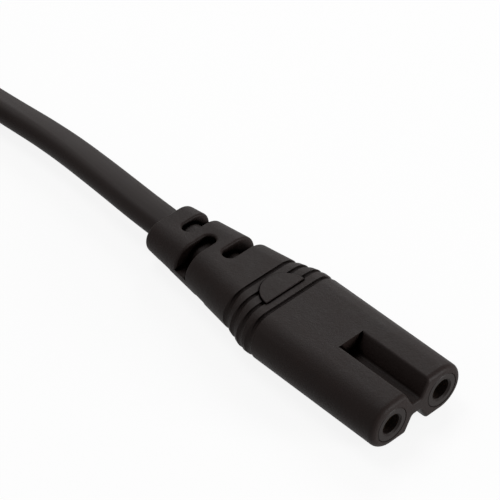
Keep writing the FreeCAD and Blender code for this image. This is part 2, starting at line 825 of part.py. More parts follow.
def add_upper_loop(body):
    """The last half turn, one cord wide and one high, round the near loop on top of the others."""
    sketch = new_sketch(body, "XY_Plane", "upper_loop", size["hank_height"])
    half_cord = size["cord_thickness"] / 2
    leg = size["upper_loop_leg"]
    radii = (size["upper_loop_radius"] + half_cord, size["upper_loop_radius"] - half_cord)
    legs = []
    for radius in radii:
        r = radius.value
        arc = arc_through(sketch, (-r, 0), (0, -r), (r, 0))
        constrain(sketch, "Coincident", arc, 3, -1, 1)
        constrain(sketch, "Radius", arc, radius)
        for end, side in ((1, -1), (2, 1)):
            constrain(sketch, "PointOnObject", arc, end, -1)
            line = add_line(sketch, (side * r, 0), (side * r, leg.value))
            constrain(sketch, "Coincident", line, 1, arc, end)
            constrain(sketch, "Vertical", line)
            constrain(sketch, "DistanceY", -1, 1, line, 2, leg)
            legs.append((line, side * r))
    for (outer, outer_x), (inner, inner_x) in zip(legs[:2], legs[2:]):
        cap = add_line(sketch, (outer_x, leg.value), (inner_x, leg.value))
        constrain(sketch, "Coincident", cap, 1, outer, 2)
        constrain(sketch, "Coincident", cap, 2, inner, 2)
    extrude(body, "upper_turn", sketch, size["cord_width"])


def tie_part(name, half_width, bottom, top):
    """A block across the hank's waist, between two heights."""
    block = document.addObject("Part::Box", name)
    bind(block, {"Length": half_width * 2, "Width": size["tie_width"], "Height": top - bottom})
    place(block, {
        "x": HANK["x"] - half_width,
        "y": HANK["y"] + size["loop_spacing"] / 2 - size["tie_width"] / 2,
        "z": bottom,
    })
    return block


def hank_tie():
    """A flat band round the hank's waist, lying level with the hank's underside."""
    thick = size["tie_thickness"]
    height = size["hank_height"]
    outer = tie_part("tie_outside", waist + thick, zero, height + thick)
    inner = tie_part("tie_inside", waist, thick, height)
    return cut("hank_tie", outer, inner)


# The plug.

def octagon(body, name, station, width, flat_width, height, edge_height):
    """A section with a flat top and bottom, two upright edges and slanted sides between them."""
    sketch = section_sketch(body, name, station)
    outer, inner = width / 2, flat_width / 2
    high, low = height / 2, edge_height / 2
    corners = [(outer, low), (inner, high), (-inner, high), (-outer, low)]
    return polygon(sketch, corners + [(-x, -y) for x, y in corners])


def plug_moulding():
    """The plug's one-piece body: strain relief, tapering neck and grip."""
    body = new_body("plug_moulding", PLUG)
    face = (size["plug_face_width"], size["plug_flat_width"], size["plug_thickness"],
            size["plug_edge_height"])
    neck = (size["plug_neck_width"], size["plug_neck_flat"], size["plug_neck_height"], size["plug_neck_edge"])
    grip = octagon(body, "grip_section", plug_grip, *face)
    extrude(body, "grip", grip, size["plug_grip_length"], backward=True)
    loft(body, "neck", [
        octagon(body, "neck_front", plug_grip, *face),
        octagon(body, "neck_back", plug_neck, *neck),
    ])
    loft(body, "plug_relief", [
        flat_section(body, "plug_relief_front", plug_neck, size["plug_relief_width"],
                     size["plug_relief_height"]),
        flat_section(body, "plug_relief_back", zero, size["plug_end_width"], size["plug_end_height"]),
    ])
    fillet(body, "plug_face_edges", size["plug_face_rounding"], lambda edge: lies_at(edge, plug_face.value))
    return body


def plug_pin(side, way):
    """A round pin on a thinner shank, with a round tip and a seat for the strands in its tail."""
    x = plug_half_pitch * way
    radius = size["plug_pin_diameter"] / 2
    shoulder = plug_face + size["plug_sleeve_length"]
    crown = plug_face + size["plug_pin_length"] - radius
    shank = cylinder(f"plug_shank_{side}", PLUG, x, plug_tail, shoulder - plug_tail,
                     size["plug_shank_diameter"])
    head = cylinder(f"plug_head_{side}", PLUG, x, shoulder, crown - shoulder, size["plug_pin_diameter"])
    tip = document.addObject("Part::Sphere", f"plug_tip_{side}")
    bind(tip, {"Radius": radius})
    place(tip, {"x": PLUG["x"] + x, "y": PLUG["y"] + crown, "z": PLUG["z"]})
    seat = cylinder(f"plug_seat_{side}", PLUG, x, plug_tail, size["plug_tail_seat"],
                    size["conductor_diameter"])
    return cut(f"plug_pin_{side}", fuse(f"plug_pin_blank_{side}", [shank, head, tip]), seat), shank


def plug_sleeve(side, way, shank):
    """The insulating sleeve on a pin's shank, from the bridge out through the face."""
    length = size["plug_bridge_cover"] + size["plug_sleeve_length"]
    blank = cylinder(f"plug_sleeve_blank_{side}", PLUG, plug_half_pitch * way, plug_bridge_front, length,
                     size["plug_sleeve_diameter"])
    return cut(f"plug_sleeve_{side}", blank, shank), blank


def plug_bridge_blank():
    """The rigid bar that holds the two pins at their pitch."""
    bar = document.addObject("Part::Box", "plug_bridge_blank")
    half = plug_half_pitch + size["plug_bridge_margin"]
    bind(bar, {"Length": half * 2, "Width": size["plug_bridge_length"], "Height": size["plug_bridge_height"]})
    place(bar, {
        "x": PLUG["x"] - half,
        "y": PLUG["y"] + plug_bridge_back,
        "z": PLUG["z"] - size["plug_bridge_height"] / 2,
    })
    return bar


# The whole part.

def connector_pieces(lead):
    """The moulding and what it was moulded round."""
    blank = insert_blank()
    inside = [blank, lead]
    pieces = [contact_insert(blank)]
    for side, way in SIDES.items():
        metal, crimp = contact(side, way)
        strands, core, whole = wires("", CONNECTOR, side, (half_pitch * way, crimp_end),
                                     (half_cores * way, jacket_start),
                                     lead=size["crimp_length"] - size["crimp_seat"])
        inside += [crimp, whole]
        pieces += [metal, strands, core]
    pieces.append(cut("connector_body", connector_moulding(), fuse("connector_inside", inside)))
    return pieces


def cord_pieces(lead, tail):
    """The cord, its hank and the tie."""
    tie = hank_tie()
    turns = cut("cord_hank", hank_blank(), tie)
    return [cut("cord_lead", lead, turns), turns, tie, tail]


def plug_pieces(tail):
    """The plug's moulding and what it was moulded round."""
    bar = plug_bridge_blank()
    inside = [bar, tail]
    shanks = []
    pieces = []
    for side, way in SIDES.items():
        pin, shank = plug_pin(side, way)
        sleeve, sleeve_blank = plug_sleeve(side, way, shank)
        strands, core, whole = wires("plug_", PLUG, side, (half_cores * way, size["plug_jacket_inset"]),
                                     (plug_half_pitch * way, plug_tail), tail=size["plug_tail_seat"])
        shanks.append(shank)
        inside += [shank, sleeve_blank, whole]
        pieces += [pin, sleeve, strands, core]
    pieces.append(cut("plug_bridge", bar, fuse("plug_shanks", shanks)))
    pieces.append(cut("plug_body", plug_moulding(), fuse("plug_inside", inside)))
    return pieces


def export(pieces):
    """Stop at anything that failed, then write each piece to its own file."""
    document.recompute()
    failed = [item.Name for item in document.Objects if {"Invalid", "Error"} & set(item.State)]
    broken = [piece.Label for piece in pieces if piece.Shape.isNull() or not piece.Shape.isValid()]
    if failed or broken:
        raise RuntimeError(f"failed: {failed}, not valid: {broken}")
    os.makedirs("parts", exist_ok=True)
    for piece in pieces:
        piece.Shape.exportStep(os.path.join("parts", f"{piece.Label}.step"))
        print(piece.Label, "solids", len(piece.Shape.Solids), "volume", round(piece.Shape.Volume, 2))


waist_reach = (size["waist_bend"] + size["loop_radius"]) * (size["waist_bend"] + size["loop_radius"])
waist = (waist_reach - size["loop_spacing"] * size["loop_spacing"] / 4).root() - size["waist_bend"]

lead_cord = lead_tube()
tail_cord = tail_tube()
export(connector_pieces(lead_cord) + cord_pieces(lead_cord, tail_cord) + plug_pieces(tail_cord))
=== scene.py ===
from math import cos, pi, radians, sin

import bmesh
import bpy
import numpy as np
from bpy.props import FloatProperty, FloatVectorProperty, IntProperty, PointerProperty
from mathutils import Matrix, Vector


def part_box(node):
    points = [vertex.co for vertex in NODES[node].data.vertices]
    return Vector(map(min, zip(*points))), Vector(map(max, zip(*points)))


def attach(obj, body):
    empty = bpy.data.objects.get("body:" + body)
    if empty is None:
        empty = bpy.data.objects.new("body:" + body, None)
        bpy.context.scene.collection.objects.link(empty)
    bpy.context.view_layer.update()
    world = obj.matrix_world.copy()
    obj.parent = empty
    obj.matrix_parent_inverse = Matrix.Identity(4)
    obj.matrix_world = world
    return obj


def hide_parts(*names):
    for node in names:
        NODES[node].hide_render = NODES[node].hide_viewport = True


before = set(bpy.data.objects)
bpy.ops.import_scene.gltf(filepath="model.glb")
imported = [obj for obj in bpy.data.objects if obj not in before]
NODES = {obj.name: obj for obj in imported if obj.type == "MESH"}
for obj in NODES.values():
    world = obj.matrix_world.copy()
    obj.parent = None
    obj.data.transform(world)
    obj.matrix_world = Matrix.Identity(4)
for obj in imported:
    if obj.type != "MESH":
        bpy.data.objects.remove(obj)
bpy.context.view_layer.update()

bl_info = {
    "name": "Figure eight power connector",
    "version": (1, 0, 0),
    "blender": (4, 5, 0),
    "location": "View3D > Sidebar > Connector",
    "description": "Dresses a figure eight power connector on its flat cord, "
                   "with its plug and a small studio",
    "category": "Object",
}

BODY = "root"

# The cord's points, in metres, as in the part's source: to the hank, and from it to the plug.
LEAD_ROUTE = [
    (0.0, 0.0085, 0.00343),
    (0.0, 0.024, 0.00343),
    (0.0008, 0.0355, 0.00312),
    (0.00145, 0.0465, 0.0026),
    (0.00075, 0.058, 0.00225),
    (0.0004, 0.066, 0.0023),
    (0.0032, 0.077, 0.0025),
    (0.005, 0.0865, 0.0025),
]
TAIL_ROUTE = [
    (-0.001, 0.093, 0.0127),
    (-0.001, 0.0995, 0.0127),
    (-0.0024, 0.107, 0.0132),
    (-0.0062, 0.115, 0.0149),
    (-0.0092, 0.123, 0.0165),
    (-0.01, 0.131, 0.01705),
    (-0.01, 0.145, 0.01705),
]

# Where the hank's turns change, counted in turns from its start, and over how much of a turn.
LOWER_TURNS, CLIMB = 2.25, 0.25  # the end of the lower layer, and the climb to the upper one
LAST_CLIMB_AT, LAST_CLIMB = 4.64, 0.1  # the climb of the last stretch on to the top
CLOSING_AT, CLOSING = 4.66, 0.18  # the last stretch drawn in to its own radius
POINTS_PER_TURN = 24

SHARP_ANGLE = radians(32)  # faces that meet at more than this keep a sharp edge
MERGE = 2e-6  # points of a CAD mesh that are nearer than this become one
FLUSH = 1e-6  # points this near the front plane lie in it
RIM_SPREAD = 2e-5  # points of one rim lie this near its radius
RING_STEP = 0.0016  # from one ring of the cord's mesh to the next
CORD_AROUND, TIE_AROUND = 28, 16  # points round the sections of the cord and the tie

WHITE = (1.0, 1.0, 1.0)
SKY_LIGHT = 0.34  # strength of the even light from all round
FLOOR_WHITE = 0.88  # share of plain white where the floor is seen
FLOOR_HALF = 3.0  # half the floor's side, in metres
# Each soft lamp's place and the side of its square, in metres, and its power in watts.
LAMPS = {
    "key_light": ((0.62, 0.42, 0.48), 0.3, 2.7),
    "top_light": ((0.1, 0.45, 0.8), 0.4, 2.7),
    "front_light": ((0.4, -0.8, 0.13), 0.3, 9.0),
}


def length_property(name, description, default):
    """A length in metres."""
    return FloatProperty(name=name, description=description, default=default, unit="LENGTH", precision=5)


def angle_property(name, description, degrees):
    """An angle, given in degrees and kept in radians."""
    return FloatProperty(name=name, description=description, default=radians(degrees), subtype="ANGLE")


def colour_property(name, description, default):
    """A colour of three parts from 0 to 1."""
    return FloatVectorProperty(name=name, description=description, default=default, subtype="COLOR",
                               size=3, min=0.0, max=1.0)


class CordSizes(bpy.types.PropertyGroup):
    """The flat twin cord, the hank of its put-away length and the hank's tie."""
    width: length_property("Width", "Broad side of the flat cord", 0.005)
    thickness: length_property("Thickness", "Narrow side of the flat cord", 0.0032)
    length: length_property("Length", "Real length of the cord", 1.5)
    first_roll: angle_property("First roll", "Roll of the flat cord beyond the strain relief", 26)
    roll_start: length_property("Roll start", "Where the first roll starts along the cord", 0.014)
    roll_length: length_property("Roll length", "Length of cord over which the first roll builds up", 0.05)
    unroll_length: length_property("Unroll length", "Length of cord that turns level after the hank", 0.03)
    turns: IntProperty(name="Turns", description="Turns of the hank", default=5, min=1)
    hank_x: length_property("Hank across", "Middle of the hank along X", -0.016)
    hank_y: length_property("Hank start", "Middle of the hank's near loop along Y", 0.089)
    run: length_property("Run", "Distance between the middles of the hank's two loops", 0.08)
    outer_radius: length_property("Outer loop", "Radius of the outermost turn", 0.022)
    last_radius: length_property("Last loop", "Radius to which the last turn is drawn in", 0.0152)
    pitch: length_property("Pitch", "Distance from one turn to the next in a layer", 0.0032)
    layer: length_property("Layer", "Height from one layer of turns to the next", 0.0051)
    pinch: length_property("Pinch", "How far the tie draws each run inwards", 0.0138)
    tie_lift: length_property("Tie lift", "How far the tie's underside lifts the turns", 0.00095)
    tie_reach: length_property("Tie reach", "How far along a run the lift fades out", 0.009)
    tie_width: length_property("Tie width", "Width of the tie along the hank", 0.005)
    tie_thickness: length_property("Tie thickness", "Thickness of the tie", 0.0009)
    tie_half: length_property("Tie half", "Half the inner width of the tie across the hank", 0.0104)
    tie_corner: length_property("Tie corner", "Radius of the tie's corners", 0.0022)


class Finishes(bpy.types.PropertyGroup):
    """The colours of the materials, and the fine bevel of the carrier's rims."""
    moulding: colour_property("Moulding", "Soft moulded plastic of the connector and the plug",
                              (0.0094, 0.0057, 0.0049))
    carrier: colour_property("Carrier", "Rigid plastic round the entry holes", (0.0108, 0.0078, 0.0071))
    jacket: colour_property("Jacket", "Cord jacket", (0.0138, 0.0098, 0.009))
    contact: colour_property("Contact", "Bare brass of the contacts", (0.72, 0.53, 0.25))
    strands: colour_property("Strands", "Bare copper of the conductors", (0.72, 0.36, 0.2))
    left_core: colour_property("Left core", "Insulation of the left core", (0.03, 0.12, 0.42))
    right_core: colour_property("Right core", "Insulation of the right core", (0.16, 0.07, 0.03))
    plating: colour_property("Plating", "Plated pins of the plug", (0.66, 0.64, 0.6))
    bridge: colour_property("Bridge", "Rigid bridge that holds the plug's pins", (0.35, 0.34, 0.32))
    tie: colour_property("Tie", "Coated tie of the hank", (0.011, 0.011, 0.011))
    floor: colour_property("Floor", "Plain floor", (0.93, 0.93, 0.93))
    rim_bevel: length_property("Rim bevel", "Bevel of the carrier's rims in the front face", 0.00018)


class PhotoCamera(bpy.types.PropertyGroup):
    """Where the picture was taken from, as seen from the middle of the mating face."""
    azimuth: angle_property("Azimuth", "Turn about Z", -43.22)
    elevation: angle_property("Elevation", "Height above the floor", 42.19)
    distance: length_property("Distance", "From the lens to the mating face, along the view", 0.3195)
    scale: FloatProperty(name="Scale", description="Pixels per metre at the mating face", default=8273.0)
    across: FloatProperty(name="Across", default=167.2,
                          description="Pixels from the picture's middle to the mating face, rightwards")
    down: FloatProperty(name="Down", default=157.4,
                        description="Pixels from the picture's middle to the mating face, downwards")
    picture: IntProperty(name="Picture", description="Width of the picture in pixels", default=500)
    sensor: FloatProperty(name="Sensor", description="Width of the sensor in millimetres", default=36.0)


class Value:
    """A shader socket on which Python's operators work; each adds one Math node."""

    def __init__(self, finish, socket):
        self.finish = finish
        self.socket = socket

    def _math(self, operation, first, second):
        return self.finish.node("ShaderNodeMath", {"operation": operation}, {0: first, 1: second})

    def __add__(self, other):
        return self._math("ADD", self, other)

    def __radd__(self, other):
        return self._math("ADD", other, self)

    def __sub__(self, other):
        return self._math("SUBTRACT", self, other)

    def __rsub__(self, other):
        return self._math("SUBTRACT", other, self)

    def __mul__(self, other):
        return self._math("MULTIPLY", self, other)

    def __rmul__(self, other):
        return self._math("MULTIPLY", other, self)


class Nodes:
    """The nodes of a material or a world."""

    def __init__(self, owner, output):
        owner.use_nodes = True
        self.links = owner.node_tree.links
        self.nodes = owner.node_tree.nodes
        self.nodes.clear()
        self.output = self.nodes.new(output)

    def feed(self, socket, source):
        """Set a socket to a number or colour, or link a value to it."""
        if isinstance(source, Value):
            self.links.new(source.socket, socket)
        elif hasattr(socket.default_value, "__len__") and len(socket.default_value) == 4 and len(source) == 3:
            socket.default_value = (*source, 1.0)
        else:
            socket.default_value = source

    def node(self, kind, settings=None, sockets=None, output=0):
        """Add a node: its settings first, then its sockets, and give one of its outputs."""
        node = self.nodes.new(kind)
        for name, setting in (settings or {}).items():
            setattr(node, name, setting)
        for name, source in (sockets or {}).items():
            self.feed(node.inputs[name], source)
        return Value(self, node.outputs[output])

    def end_between(self, share, first, last):
        """Give the output a shader between two, by a share from 0 to 1."""
        self.feed(self.output.inputs["Surface"],
                  self.node("ShaderNodeMixShader", None, {0: share, 1: first, 2: last}))

    def end_seen(self, lit, shown, share=1.0):
        """Give the output one shader for rays that carry light, and a share of another for seen ones."""
        seen = sum(self.node("ShaderNodeLightPath", output=f"Is {ray} Ray")
                   for ray in ("Camera", "Glossy", "Transmission"))
        self.end_between(seen * share, lit, shown)


class Finish(Nodes):
    """A material made of nodes, with one Principled shader."""

    def __init__(self, name):
        self.material = bpy.data.materials.new(name)
        super().__init__(self.material, "ShaderNodeOutputMaterial")
        self.shader = self.nodes.new("ShaderNodeBsdfPrincipled")
        self.principled = Value(self, self.shader.outputs[0])
        self.feed(self.output.inputs["Surface"], self.principled)

    def place(self):
        """The piece's own coordinates, in metres."""
        return self.node("ShaderNodeTexCoord", output="Object")

    def along(self):
        """The piece's own map of length and girth, in metres."""
        return self.node("ShaderNodeUVMap", {"uv_map": "along"})

    def noise(self, place, size, detail=2.0, roughness=0.5):
        """Noise from 0 to 1 whose lumps are about size metres across."""
        return self.node("ShaderNodeTexNoise", None, {"Vector": place, "Scale": 1.0 / size, "Detail": detail,
                                                      "Roughness": roughness}, "Fac")

    def stretched(self, place, factors):
        """A place scaled by three factors, so that a pattern runs along one direction."""
        return self.node("ShaderNodeVectorMath", {"operation": "MULTIPLY"}, {0: place, 1: factors}, "Vector")

    def between(self, share, first, last):
        """A colour between two, by a share from 0 to 1."""
        return self.node("ShaderNodeMix", {"data_type": "RGBA"}, {"Factor": share, 6: first, 7: last}, 2)

    def bump(self, height, distance, strength=1.0):
        """A normal tilted by a height from 0 to 1 that stands for a distance."""
        return self.node("ShaderNodeBump", None,
                         {"Strength": strength, "Distance": distance, "Height": height}, "Normal")

    def hollow_shade_mask(self, reach, level, gain):
        """A mask of hollows, for painted shade: how far the share of open air within reach is below a level,
        times a gain.
        """
        air = self.node("ShaderNodeAmbientOcclusion", {"samples": 16, "only_local": True},
                        {"Distance": reach}, "AO")
        return self.node("ShaderNodeMath", {"operation": "MULTIPLY", "use_clamp": True},
                         {0: level - air, 1: gain})

    def surface(self, sockets):
        """Set the Principled shader's sockets and give the material."""
        for name, source in sockets.items():
            self.feed(self.shader.inputs[name], source)
        return self.material


def shade(colour, factor):
    """A colour times a factor, at most white."""
    return [min(1.0, part * factor) for part in colour]


def moulded_plastic(name, colour):
    """Soft black moulding: a spark-eroded grain of fine pits and soft dimples, over slow blotches of gloss.

    Painted shade: its grooves and slots are mixed towards a dark diffuse shader, the more the less open air
    they see.
    """
    finish = Finish(name)
    place = finish.place()
    grain = finish.noise(place, 0.00025, 3.0, 0.6)
    dimples = finish.noise(place, 0.0008, 1.0)
    blotches = finish.noise(place, 0.0026, 2.0)
    # Painted shade: a dark diffuse shader that stands in for the shade that falls in grooves and slots.
    painted_shade = finish.node("ShaderNodeBsdfDiffuse", None, {"Color": shade(colour, 0.15)})
    groove_shade = finish.hollow_shade_mask(reach=0.0006, level=0.95, gain=5.0)
    slot_shade = finish.hollow_shade_mask(reach=0.002, level=0.75, gain=4.0)
    finish.end_between(groove_shade + slot_shade, finish.principled, painted_shade)
    return finish.surface({
        "Base Color": finish.between(blotches * 0.6 + grain * 0.4, shade(colour, 0.65), shade(colour, 1.4)),
        "Roughness": grain * 0.16 + blotches * 0.12 + 0.39,
        "Specular IOR Level": 0.1,
        "Normal": finish.bump(grain * 0.7 + dimples * 0.6, 0.00006, 0.8),
    })


def smooth_plastic(name, colour):
    """Rigid plastic with a faint grain."""
    finish = Finish(name)
    grain = finish.noise(finish.place(), 0.0003, 2.0)
    return finish.surface({
        "Base Color": finish.between(grain, shade(colour, 0.85), shade(colour, 1.15)),
        "Roughness": grain * 0.1 + 0.38,
        "Specular IOR Level": 0.1,
        "Normal": finish.bump(grain, 0.00001, 0.5),
    })


def extruded_jacket(name, colour):
    """Extruded cord jacket: faint lines along the cord, over slow blotches."""
    finish = Finish(name)
    along = finish.along()
    lines = finish.noise(finish.stretched(along, (0.04, 1.0, 1.0)), 0.0007, 2.0)
    blotches = finish.noise(along, 0.003, 2.0)
    return finish.surface({
        "Base Color": finish.between(blotches, shade(colour, 0.85), shade(colour, 1.2)),
        "Roughness": lines * 0.1 + blotches * 0.1 + 0.4,
        "Specular IOR Level": 0.09,
        "Normal": finish.bump(lines + blotches * 0.4, 0.00002, 0.5),
    })


def bare_metal(name, colour, roughness):
    """Drawn metal: fine lines along Y, and slow tarnish."""
    finish = Finish(name)
    place = finish.place()
    lines = finish.noise(finish.stretched(place, (1.0, 0.03, 1.0)), 0.0001, 2.0)
    tarnish = finish.noise(place, 0.002, 3.0)
    return finish.surface({
        "Base Color": finish.between(tarnish, shade(colour, 0.8), shade(colour, 1.08)),
        "Metallic": 1.0,
        "Roughness": lines * 0.12 + tarnish * 0.1 + roughness,
        "Normal": finish.bump(lines, 0.000004, 0.5),
    })


def coated_tie(name, colour):
    """Ribbed plastic coating of the tie: low ridges across it, about 1 mm apart."""
    finish = Finish(name)
    ridges = finish.node("ShaderNodeTexWave", {"wave_type": "BANDS", "bands_direction": "X"},
                         {"Vector": finish.along(), "Scale": 1.0 / 0.0031, "Distortion": 0.6}, "Fac")
    grain = finish.noise(finish.place(), 0.0003, 2.0)
    return finish.surface({
        "Base Color": finish.between(grain, shade(colour, 0.8), shade(colour, 1.25)),
        "Roughness": grain * 0.12 + 0.38,
        "Specular IOR Level": 0.1,
        "Normal": finish.bump(ridges + grain * 0.3, 0.00004, 0.6),
    })


def pale_floor(colour):
    """Plain pale floor with a hardly visible unevenness; where it is seen, it is partly plain white."""
    finish = Finish("floor")
    blotches = finish.noise(finish.place(), 0.3, 1.0)
    white = finish.node("ShaderNodeEmission", None, {"Color": WHITE, "Strength": 1.0})
    finish.end_seen(finish.principled, white, FLOOR_WHITE)
    return finish.surface({
        "Base Color": finish.between(blotches, shade(colour, 0.99), shade(colour, 1.01)),
        "Roughness": 0.9,
        "Specular IOR Level": 0.0,
    })


def add_piece(name, mesh, material, slot, *replaced):
    """Show a mesh as a piece that rides on the object and stands for CAD nodes."""
    piece = bpy.data.objects.new(name, mesh)
    bpy.context.scene.collection.objects.link(piece)
    mesh.materials.clear()
    mesh.materials.append(material)
    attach(piece, BODY)
    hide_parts(*replaced)
    return piece


def dress(node, material):
    """Give a CAD node a material."""
    NODES[node].data.materials.clear()
    NODES[node].data.materials.append(material)


def soft_copy(node):
    """The node's own surface, merged and shaded smooth, apart from its sharp edges."""
    mesh = NODES[node].data.copy()
    if "custom_normal" in mesh.attributes:
        mesh.attributes.remove(mesh.attributes["custom_normal"])
    work = bmesh.new()
    work.from_mesh(mesh)
    bmesh.ops.remove_doubles(work, verts=work.verts, dist=MERGE)
    bmesh.ops.dissolve_degenerate(work, edges=work.edges, dist=MERGE)
    work.to_mesh(mesh)
    work.free()
    mesh.polygons.foreach_set("use_smooth", np.ones(len(mesh.polygons), bool))
    mesh.set_sharp_from_angle(angle=SHARP_ANGLE)
    return mesh


def bevel_front_rims(mesh, width):
    """Bevel the outer rims of the carrier's two round ends, so that a fine seam shows round each of them.

    An end's axis is midway between the extremes of its half of the front plane. Its outer rim is what lies
    farthest from that axis in the plane; the entry hole's edge lies nearer, and stays as it is.
    """
    places = np.empty(len(mesh.vertices) * 3)
    mesh.vertices.foreach_get("co", places)
    x, y, z = places.reshape(-1, 3).T
    front = y < y.min() + FLUSH
    axis_x = np.sign(x) * (x[front].max() + x[front & (x > 0)].min()) / 2
    axis_z = (z[front].max() + z[front].min()) / 2
    from_axis = np.hypot(x - axis_x, z - axis_z)
    rim = front & (from_axis > from_axis[front].max() - RIM_SPREAD)
    ends = np.empty(len(mesh.edges) * 2, np.int32)
    mesh.edges.foreach_get("vertices", ends)
    on_rim = np.flatnonzero(rim[ends.reshape(-1, 2)].all(axis=1)).tolist()
    work = bmesh.new()
    work.from_mesh(mesh)
    work.edges.ensure_lookup_table()
    bmesh.ops.bevel(work, geom=[work.edges[edge] for edge in on_rim], offset=width, segments=2, profile=0.5,
                    affect="EDGES")
    work.to_mesh(mesh)
    work.free()


def ease(share):
    """A smooth step: 0 before 0, 1 after 1, and level at both."""
    share = np.clip(share, 0.0, 1.0)
    return share * share * (3.0 - 2.0 * share)


def hank_turns(sizes):
    """Control points of the hank's turns.

    A turn is four quarters: the right run, the far loop, the left run and the near loop. A run's distance
    from the hank's middle is the loop's radius less the pinch times the squared sine of its share; a loop is
    half a circle. The radius shrinks turn by turn in the lower layer, and grows again over two turns in the
    upper one. The tie's underside lifts each run's middle by a bell curve.
    """
    turn = (np.arange(sizes.turns * POINTS_PER_TURN) + 0.5) / POINTS_PER_TURN
    outer = sizes.outer_radius
    inner = outer - LOWER_TURNS * sizes.pitch
    growth = (outer - inner) / 2.0
    upper_turn = turn - (LOWER_TURNS + CLIMB)
    radius = np.where(turn < LOWER_TURNS, outer - sizes.pitch * turn, inner)
    radius = np.where(upper_turn > 0.0, np.minimum(inner + growth * upper_turn, outer), radius)
    radius -= (radius - sizes.last_radius) * ease((turn - CLOSING_AT) / CLOSING)
    layers = ease((turn - LOWER_TURNS) / CLIMB) + ease((turn - LAST_CLIMB_AT) / LAST_CLIMB)
    height = sizes.width / 2 + sizes.layer * layers
    quarter = (turn * 4).astype(int) % 4
    share = turn * 4 % 1.0
    on_run = quarter % 2 == 0
    side = np.where(quarter < 2, 1.0, -1.0)
    inset = sizes.pinch * np.sin(pi * share) ** 2
    x = np.where(on_run, side * (radius - inset), side * radius * np.cos(pi * share))
    along_run = np.where(side > 0, share, 1.0 - share) * sizes.run
    along_loop = np.where(side > 0, sizes.run, 0.0) + side * radius * np.sin(pi * share)
    y = np.where(on_run, along_run, along_loop)
    from_tie = (share - 0.5) * sizes.run / sizes.tie_reach
    height += np.where(on_run, sizes.tie_lift * np.exp(-from_tie ** 2), 0.0)
    return np.stack([sizes.hank_x + x, sizes.hank_y + y, height], axis=1)


def smooth_line(control_points):
    """Points along a NURBS spline of order 3 that starts and ends at its end points."""
    curve = bpy.data.curves.new("cord_route", "CURVE")
    curve.dimensions = "3D"
    curve.resolution_u = 10
    spline = curve.splines.new("NURBS")
    spline.points.add(len(control_points) - 1)
    weighted = np.column_stack([control_points, np.ones(len(control_points))])
    spline.points.foreach_set("co", weighted.ravel())
    spline.order_u = 3
    spline.use_endpoint_u = True
    holder = bpy.data.objects.new("cord_route", curve)
    mesh = bpy.data.meshes.new_from_object(holder)
    line = np.empty(len(mesh.vertices) * 3)
    mesh.vertices.foreach_get("co", line)
    bpy.data.meshes.remove(mesh)
    bpy.data.objects.remove(holder)
    bpy.data.curves.remove(curve)
    return line.reshape(-1, 3)


def distance_along(line):
    """How far each point of a line is from its start, along the line."""
    steps = np.linalg.norm(np.diff(line, axis=0), axis=1)
    return np.concatenate([[0.0], np.cumsum(steps)])


def spaced(line, step):
    """The line's course again, with points a step apart."""
    along = distance_along(line)
    at = np.linspace(0.0, along[-1], int(along[-1] / step) + 1)
    return np.stack([np.interp(at, along, line[:, axis]) for axis in range(3)], axis=1)


def flat_section(width, thickness, around):
    """A stadium: points at equal turns of its outward normal, two half circles joined by two flats."""
    turn = (np.arange(around) + 0.5) * 2 * pi / around
    radius = thickness / 2
    half_span = width / 2 - radius
    return np.stack([half_span * np.sign(np.cos(turn)) + radius * np.cos(turn),
                     radius * np.sin(turn)], axis=1)


def unit(vectors):
    """Vectors of the same directions and length 1."""
    return vectors / np.linalg.norm(vectors, axis=1, keepdims=True)


def carried(name, line, section, across, out, closed):
    """A section carried along a line: point = line + a * across + b * out, with (a, b) on the section.

    The points are a grid of quads that closes round each ring. It has end caps unless the line closes too,
    and a map of the distances along the line and round the section.
    """
    points = line[:, None] + section[None, :, :1] * across[:, None] + section[None, :, 1:] * out[:, None]
    rings, around = points.shape[:2]
    index = np.arange(rings * around).reshape(rings, around)
    last = rings if closed else rings - 1
    first_ring = index[:last]
    next_ring = np.roll(index, -1, axis=0)[:last]
    quads = np.stack([first_ring, np.roll(first_ring, -1, axis=1),
                      np.roll(next_ring, -1, axis=1), next_ring], axis=-1)
    faces = quads.reshape(-1, 4).tolist()
    if not closed:
        faces += [index[0, ::-1].tolist(), index[-1].tolist()]
    mesh = bpy.data.meshes.new(name)
    mesh.from_pydata(points.reshape(-1, 3).tolist(), [], faces)
    corners = np.empty(len(mesh.loops), np.int32)
    mesh.loops.foreach_get("vertex_index", corners)
    chart = np.stack([distance_along(line)[corners // around],
                      distance_along(section)[corners % around]], axis=1)
    mesh.uv_layers.new(name="along").data.foreach_set("uv", chart.ravel())
    mesh.polygons.foreach_set("use_smooth", np.ones(len(mesh.polygons), bool))
    work = bmesh.new()
    work.from_mesh(mesh)
    bmesh.ops.recalc_face_normals(work, faces=work.faces)
    work.to_mesh(mesh)
    work.free()
    return mesh


def cord_mesh(name, line, section, twist):
    """A section that stands across the line at each point and is turned by a twist t from level.

    across = cos t * side + sin t * up, and out = cos t * up - sin t * side.
    """
    ahead = unit(np.gradient(line, axis=0))
    side = unit(np.cross(ahead, (0.0, 0.0, 1.0)))
    up = np.cross(side, ahead)
    turn = twist[:, None]
    across = np.cos(turn) * side + np.sin(turn) * up
    out = np.cos(turn) * up - np.sin(turn) * side
    return carried(name, line, section, across, out, closed=False)


def cord_twist(line, hank_points, sizes):
    """How far the flat cord is rolled: level in the connector, on edge in the hank, and level in the plug.

    The first roll builds up beyond the strain relief, and the rest of a quarter turn before the hank.
    """
    along = distance_along(line)
    starts, ends = (along[np.argmin(np.linalg.norm(line - hank_points[end], axis=1))] for end in (0, -1))
    quarter = pi / 2
    roll = sizes.first_roll * ease((along - sizes.roll_start) / sizes.roll_length)
    rest = quarter - sizes.first_roll
    roll += rest * ease((along - sizes.roll_length) / (starts - sizes.roll_length))
    roll -= quarter * ease((along - ends) / sizes.unroll_length)
    return -roll


